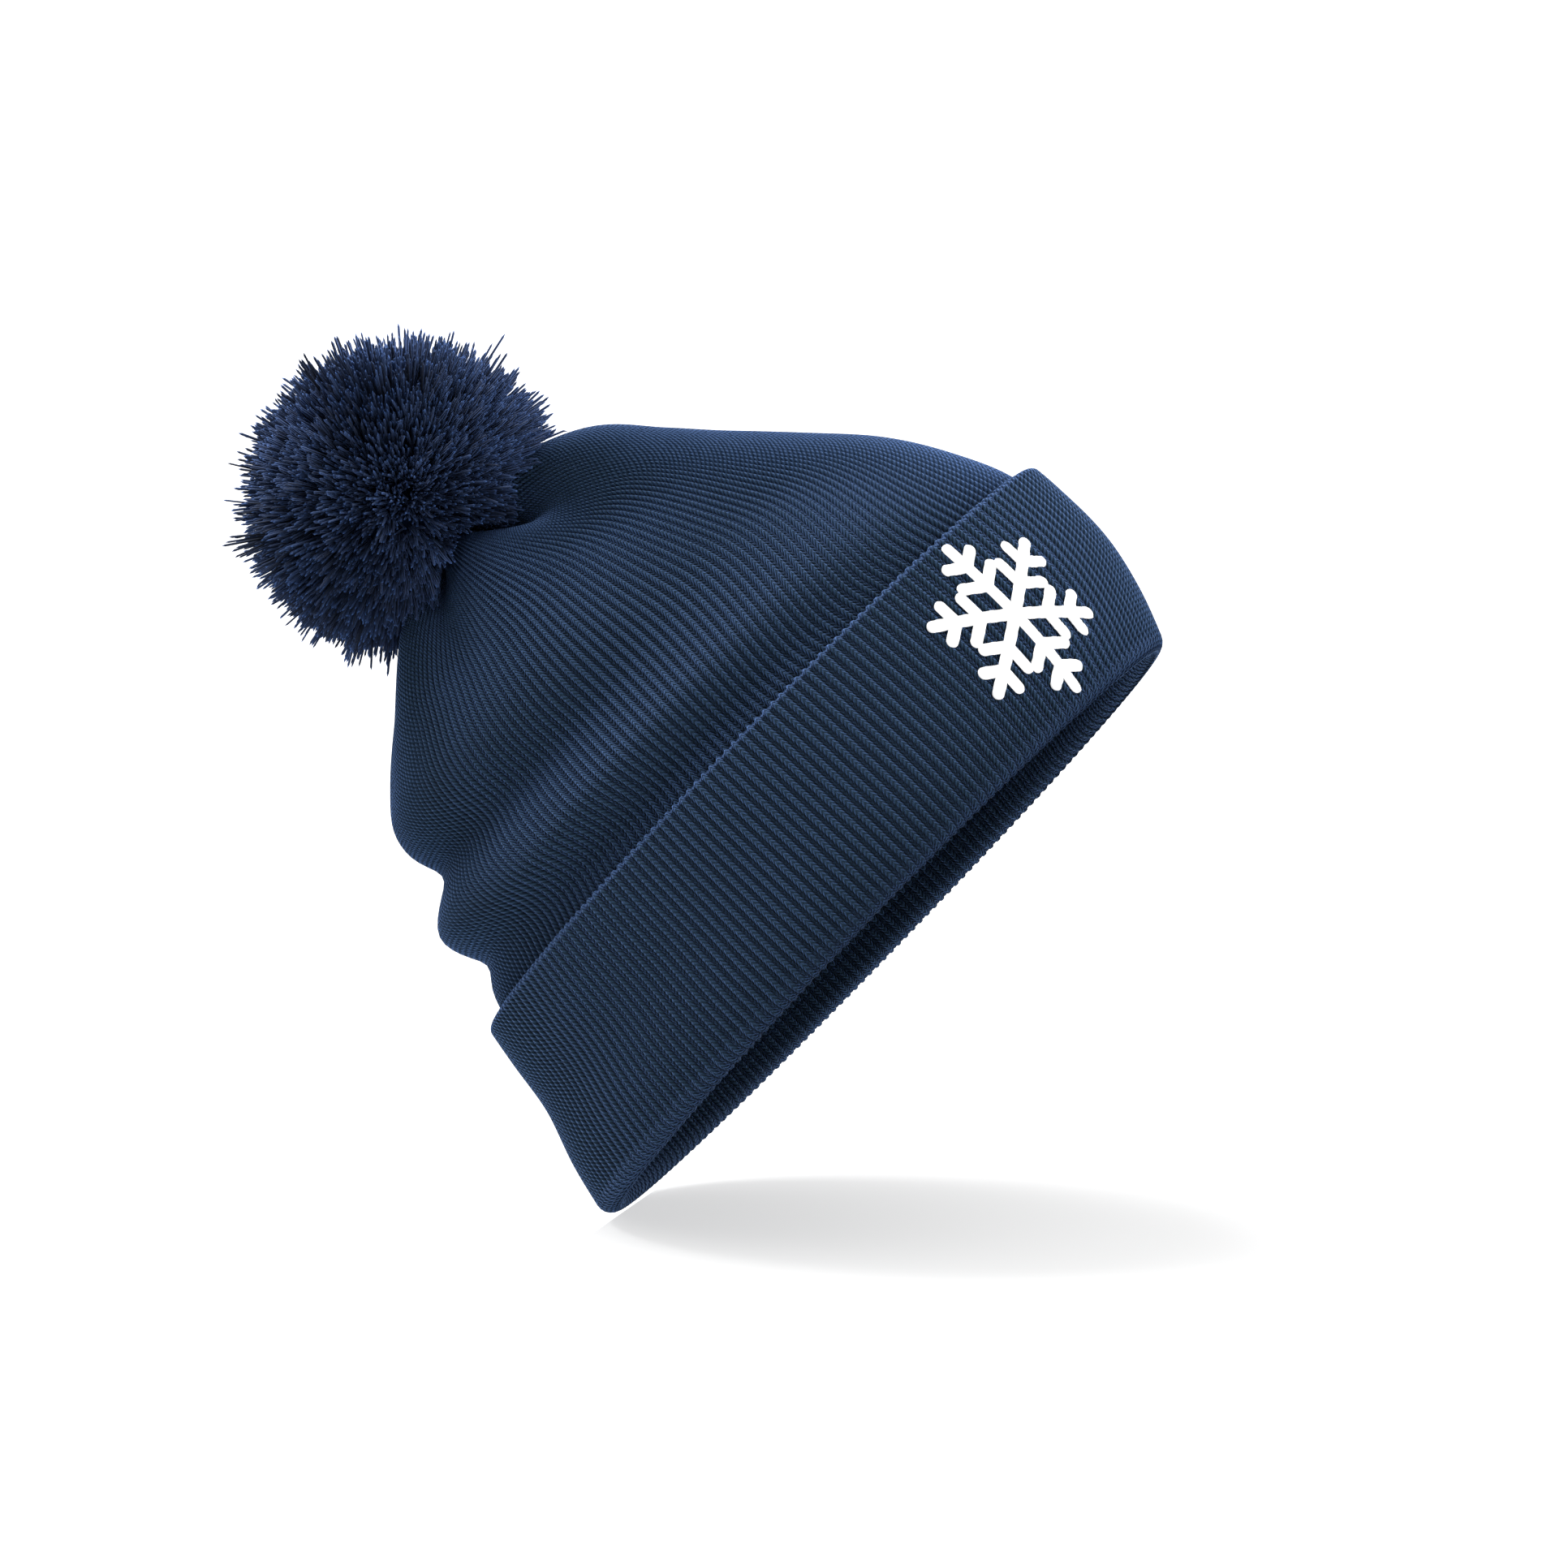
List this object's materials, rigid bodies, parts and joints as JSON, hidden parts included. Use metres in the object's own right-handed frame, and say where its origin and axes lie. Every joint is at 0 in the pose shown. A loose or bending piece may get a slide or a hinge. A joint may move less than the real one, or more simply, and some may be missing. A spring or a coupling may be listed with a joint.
{
  "type": "pom pom beanie",
  "caption": "Rib-knitted double-layer winter beanie with a turned-up cuff, a cut-yarn pom pom tied through the crown and a pressed-on snowflake emblem.",
  "frame": {"origin": "centre of the head opening, in the plane of the worn edge that the hat stands on", "axes": "+Z from the worn edge to the crown, +X to the forehead, +Y to the wearer's left"},
  "size_m": [0.2333, 0.1676, 0.2242],
  "materials": {
    "rib_knit": "navy acrylic rib knit, matt with a soft sheen at its edges",
    "pom_yarn": "navy cut acrylic yarn pile",
    "tie_yarn": "navy acrylic yarn",
    "transfer_film": "white heat-pressed film",
    "woven_tape": "blank off-white woven satin tape",
    "sewing_thread": "navy polyester thread"
  },
  "bodies": {
    "hat": {"outer_shell": "rib_knit", "lining": "rib_knit", "cuff_backing": "rib_knit", "cuff_face": "rib_knit", "crown_gather_yarn": "tie_yarn", "lining_gather_yarn": "tie_yarn", "tie_knot": "tie_yarn", "tie_tails": "tie_yarn", "emblem": "transfer_film"},
    "tie_link": {"tie_loop": "tie_yarn"},
    "pom_stem": {"pom_tie": "tie_yarn"},
    "pom": {"pom_binding": "tie_yarn", "pom_pile": "pom_yarn"},
    "size_tag": {"size_label": "woven_tape", "size_label_stitches": "sewing_thread"},
    "care_tag": {"care_label": "woven_tape", "care_label_stitches": "sewing_thread"}
  },
  "joints": [
    {"name": "pom_tilt_fore_aft", "type": "hinge", "parent": "hat", "child": "tie_link", "pos_m": [-0.006, 0, 0.1612], "axis": [0, 1, 0], "range_deg": [-18, 18], "stiffness_Nm_per_rad": 0.12},
    {"name": "pom_tilt_sideways", "type": "hinge", "parent": "tie_link", "child": "pom_stem", "pos_m": [-0.006, 0, 0.1612], "axis": [1, 0, 0], "range_deg": [-18, 18], "stiffness_Nm_per_rad": 0.12},
    {"name": "pom_twist", "type": "hinge", "parent": "pom_stem", "child": "pom", "pos_m": [-0.006, 0, 0.1612], "axis": [0, 0, 1], "range_deg": [-60, 60], "stiffness_Nm_per_rad": 0.01},
    {"name": "size_label_flip", "type": "hinge", "parent": "hat", "child": "size_tag", "pos_m": [-0.08165, -0.0265, 0.046], "axis": [0.4758, -0.8796, 0], "range_deg": [-10, 115]},
    {"name": "care_label_flip", "type": "hinge", "parent": "hat", "child": "care_tag", "pos_m": [-0.08507, 0.01678, 0.046], "axis": [-0.3156, -0.9489, 0], "range_deg": [-10, 115]}
  ]
}
